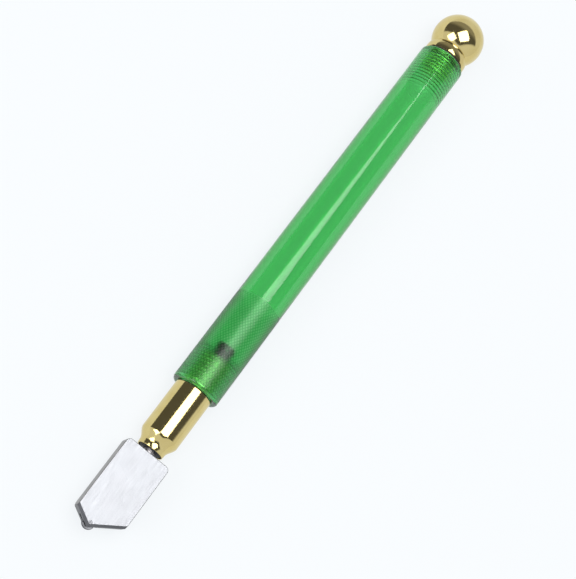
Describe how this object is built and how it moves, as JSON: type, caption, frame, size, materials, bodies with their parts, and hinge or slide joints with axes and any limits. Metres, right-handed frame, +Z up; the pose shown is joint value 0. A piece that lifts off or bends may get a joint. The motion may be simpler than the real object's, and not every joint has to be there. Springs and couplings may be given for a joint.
{
  "type": "glass cutter",
  "caption": "Oil-fed pencil-grip glass cutter: tinted clear barrel with a knurled grip, brass ferrule and ball cap, and a flat swivelling head with a cutting wheel at its point.",
  "frame": {"origin": "on the table under the middle of the tool, which lies on its ball cap and on the front edge of its barrel", "axes": "+X along the tool towards the ball cap, with the cutting wheel at -X; +Z up, along the normal of the head's wide upper face; +Y towards the side that the head's point is offset to"},
  "size_m": [0.1748, 0.0142, 0.0143],
  "materials": {
    "green_acrylic": "transparent, polished",
    "polished_brass": "polished",
    "chromed_steel": "mirror polished",
    "plain_steel": "turned",
    "hard_steel": "ground",
    "black_rubber": "matte",
    "black_nylon": "satin",
    "white_felt": "matte"
  },
  "bodies": {
    "handle": {"barrel": "green_acrylic", "ferrule": "polished_brass", "ferrule_seal": "black_rubber", "stem_seal": "black_rubber", "retaining_screw": "hard_steel", "valve_seat": "black_rubber", "valve_spring": "plain_steel", "valve_cap": "black_nylon"},
    "valve": {"valve_plunger": "polished_brass"},
    "head": {"head_body": "chromed_steel", "head_stem": "plain_steel", "oil_wick": "white_felt", "wheel_axle": "plain_steel"},
    "wheel": {"cutting_wheel": "hard_steel"},
    "cap_seal": {"cap_seal": "black_rubber"},
    "cap": {"ball_cap": "polished_brass"}
  },
  "joints": [
    {"name": "head_press", "type": "slide", "parent": "handle", "child": "valve", "axis": [1, 0, 0.0056], "range_m": [0, 0.0008], "stiffness_N_per_m": 2000, "springref_m": -0.0006, "deforming": ["valve_spring"]},
    {"name": "head_swivel", "type": "hinge", "parent": "valve", "child": "head", "pos_m": [-0.05743, 0, 0.00637], "axis": [1, 0, 0.0056], "range_deg": [-12, 12]},
    {"name": "wheel_spin", "type": "hinge", "parent": "head", "child": "wheel", "pos_m": [-0.08568, 0.0014, 0.00621], "axis": [-0.0056, 0, 1], "continuous": true},
    {"name": "cap_lift", "type": "slide", "parent": "handle", "child": "cap_seal", "axis": [1, 0, 0.0056], "range_m": [0, 0.0065]},
    {"name": "cap_turn", "type": "hinge", "parent": "cap_seal", "child": "cap", "pos_m": [0.07257, 0, 0.00709], "axis": [1, 0, 0.0056], "range_deg": [0, 2340]}
  ],
  "couplings": [
    {"joint": "cap_turn", "follows": "cap_lift", "rad_per_m": 6283.2}
  ]
}
